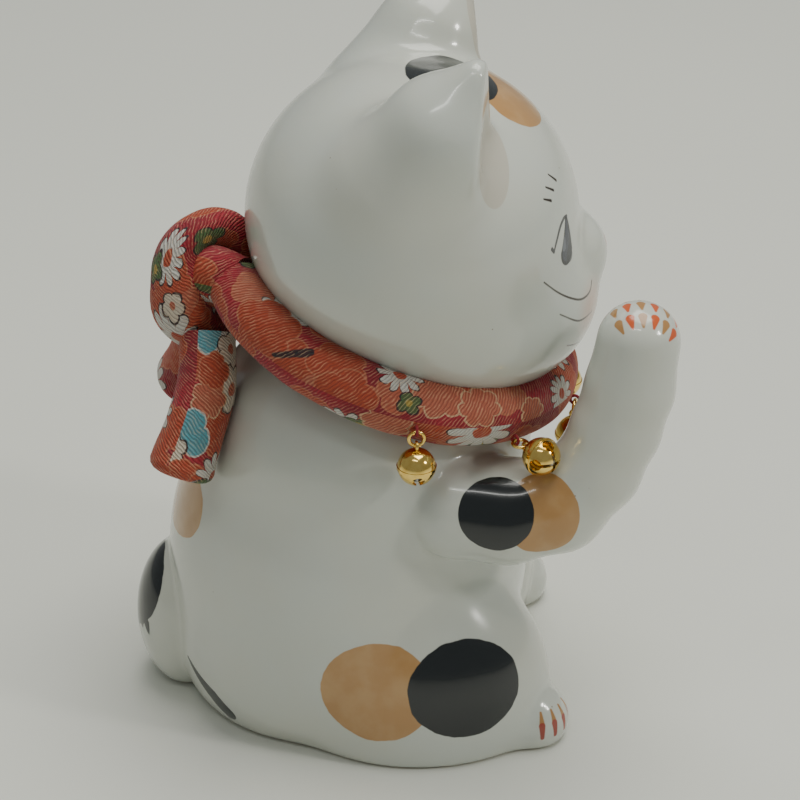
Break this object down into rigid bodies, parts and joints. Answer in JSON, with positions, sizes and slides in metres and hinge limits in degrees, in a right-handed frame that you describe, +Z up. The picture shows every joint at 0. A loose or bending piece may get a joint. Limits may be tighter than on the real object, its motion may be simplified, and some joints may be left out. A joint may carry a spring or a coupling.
{
  "type": "ceramic cat figurine",
  "caption": "Hollow glazed ceramic cat, seated with one paw raised, wearing a padded cloth collar tied at the nape and hung with small jingle bells that swing.",
  "frame": {"origin": "middle of the flat base that the cat sits on", "axes": "+Z up from the base to the ear tips, -Y the way the cat looks, -X the side of the raised right arm"},
  "size_m": [0.0974, 0.1245, 0.171],
  "materials": {
    "porcelain": "glossy white glaze with painted spots",
    "collar_cloth": "crepe with a woven flower pattern",
    "cotton": "soft wadding",
    "thread": "sewing thread",
    "bell_brass": "polished, gold coloured",
    "steel": "plain"
  },
  "bodies": {
    "root": {"body_shell": "porcelain", "raised_arm": "porcelain", "tail": "porcelain", "collar_band": "collar_cloth", "collar_filling": "cotton", "collar_knot": "collar_cloth", "collar_tail_right": "collar_cloth", "collar_tail_left": "collar_cloth", "stitch_1": "thread", "stitch_2": "thread", "stitch_3": "thread", "stitch_4": "thread", "stitch_5": "thread", "stitch_6": "thread"},
    "ring_1": {"ring_1": "bell_brass"},
    "bell_1": {"bell_1_upper": "bell_brass", "bell_1_lower": "bell_brass"},
    "pellet_1": {"bell_1_pellet": "steel"},
    "ring_2": {"ring_2": "bell_brass"},
    "bell_2": {"bell_2_upper": "bell_brass", "bell_2_lower": "bell_brass"},
    "pellet_2": {"bell_2_pellet": "steel"},
    "ring_3": {"ring_3": "bell_brass"},
    "bell_3": {"bell_3_upper": "bell_brass", "bell_3_lower": "bell_brass"},
    "pellet_3": {"bell_3_pellet": "steel"},
    "ring_4": {"ring_4": "bell_brass"},
    "bell_4": {"bell_4_upper": "bell_brass", "bell_4_lower": "bell_brass"},
    "pellet_4": {"bell_4_pellet": "steel"},
    "ring_5": {"ring_5": "bell_brass"},
    "bell_5": {"bell_5_upper": "bell_brass", "bell_5_lower": "bell_brass"},
    "pellet_5": {"bell_5_pellet": "steel"},
    "ring_6": {"ring_6": "bell_brass"},
    "bell_6": {"bell_6_upper": "bell_brass", "bell_6_lower": "bell_brass"},
    "pellet_6": {"bell_6_pellet": "steel"}
  },
  "joints": [
    {"name": "ring_1_swing", "type": "hinge", "parent": "root", "child": "ring_1", "pos_m": [-0.04422, -0.00995, 0.08957], "axis": [-0.0795, 0.9968, 0], "range_deg": [0, 60]},
    {"name": "bell_1_sway", "type": "hinge", "parent": "ring_1", "child": "bell_1", "pos_m": [-0.04422, -0.00995, 0.08787], "axis": [-0.9968, -0.0795, 0], "range_deg": [-25, 25]},
    {"name": "pellet_1_rattle", "type": "slide", "parent": "bell_1", "child": "pellet_1", "axis": [0, 0, 1], "range_m": [0, 0.0045]},
    {"name": "ring_2_swing", "type": "hinge", "parent": "root", "child": "ring_2", "pos_m": [-0.03419, -0.03249, 0.0813], "axis": [-0.614, 0.7893, 0], "range_deg": [0, 30]},
    {"name": "bell_2_sway", "type": "hinge", "parent": "ring_2", "child": "bell_2", "pos_m": [-0.03553, -0.03353, 0.08124], "axis": [-0.0275, -0.0214, 0.9994], "range_deg": [-20, 3]},
    {"name": "pellet_2_rattle", "type": "slide", "parent": "bell_2", "child": "pellet_2", "axis": [0.7888, 0.6137, 0.0349], "range_m": [0, 0.0045]},
    {"name": "ring_3_swing", "type": "hinge", "parent": "root", "child": "ring_3", "pos_m": [-0.01316, -0.04784, 0.07979], "axis": [-0.9549, 0.297, 0], "range_deg": [-5, 60]},
    {"name": "bell_3_sway", "type": "hinge", "parent": "ring_3", "child": "bell_3", "pos_m": [-0.01316, -0.04784, 0.07809], "axis": [-0.297, -0.9549, 0], "range_deg": [-25, 25]},
    {"name": "pellet_3_rattle", "type": "slide", "parent": "bell_3", "child": "pellet_3", "axis": [0, 0, 1], "range_m": [0, 0.0045]},
    {"name": "ring_4_swing", "type": "hinge", "parent": "root", "child": "ring_4", "pos_m": [0.01316, -0.04784, 0.07979], "axis": [-0.9549, -0.297, 0], "range_deg": [-5, 60]},
    {"name": "bell_4_sway", "type": "hinge", "parent": "ring_4", "child": "bell_4", "pos_m": [0.01316, -0.04784, 0.07809], "axis": [0.297, -0.9549, 0], "range_deg": [-25, 25]},
    {"name": "pellet_4_rattle", "type": "slide", "parent": "bell_4", "child": "pellet_4", "axis": [0, 0, 1], "range_m": [0, 0.0045]},
    {"name": "ring_5_swing", "type": "hinge", "parent": "root", "child": "ring_5", "pos_m": [0.03419, -0.03249, 0.0813], "axis": [-0.614, -0.7893, 0], "range_deg": [-5, 60]},
    {"name": "bell_5_sway", "type": "hinge", "parent": "ring_5", "child": "bell_5", "pos_m": [0.03419, -0.03249, 0.07959], "axis": [0.7893, -0.614, 0], "range_deg": [-25, 25]},
    {"name": "pellet_5_rattle", "type": "slide", "parent": "bell_5", "child": "pellet_5", "axis": [0, 0, 1], "range_m": [0, 0.0045]},
    {"name": "ring_6_swing", "type": "hinge", "parent": "root", "child": "ring_6", "pos_m": [0.04422, -0.00995, 0.08957], "axis": [-0.0795, -0.9968, 0], "range_deg": [0, 60]},
    {"name": "bell_6_sway", "type": "hinge", "parent": "ring_6", "child": "bell_6", "pos_m": [0.04422, -0.00995, 0.08787], "axis": [0.9968, -0.0795, 0], "range_deg": [-25, 25]},
    {"name": "pellet_6_rattle", "type": "slide", "parent": "bell_6", "child": "pellet_6", "axis": [0, 0, 1], "range_m": [0, 0.0045]}
  ]
}
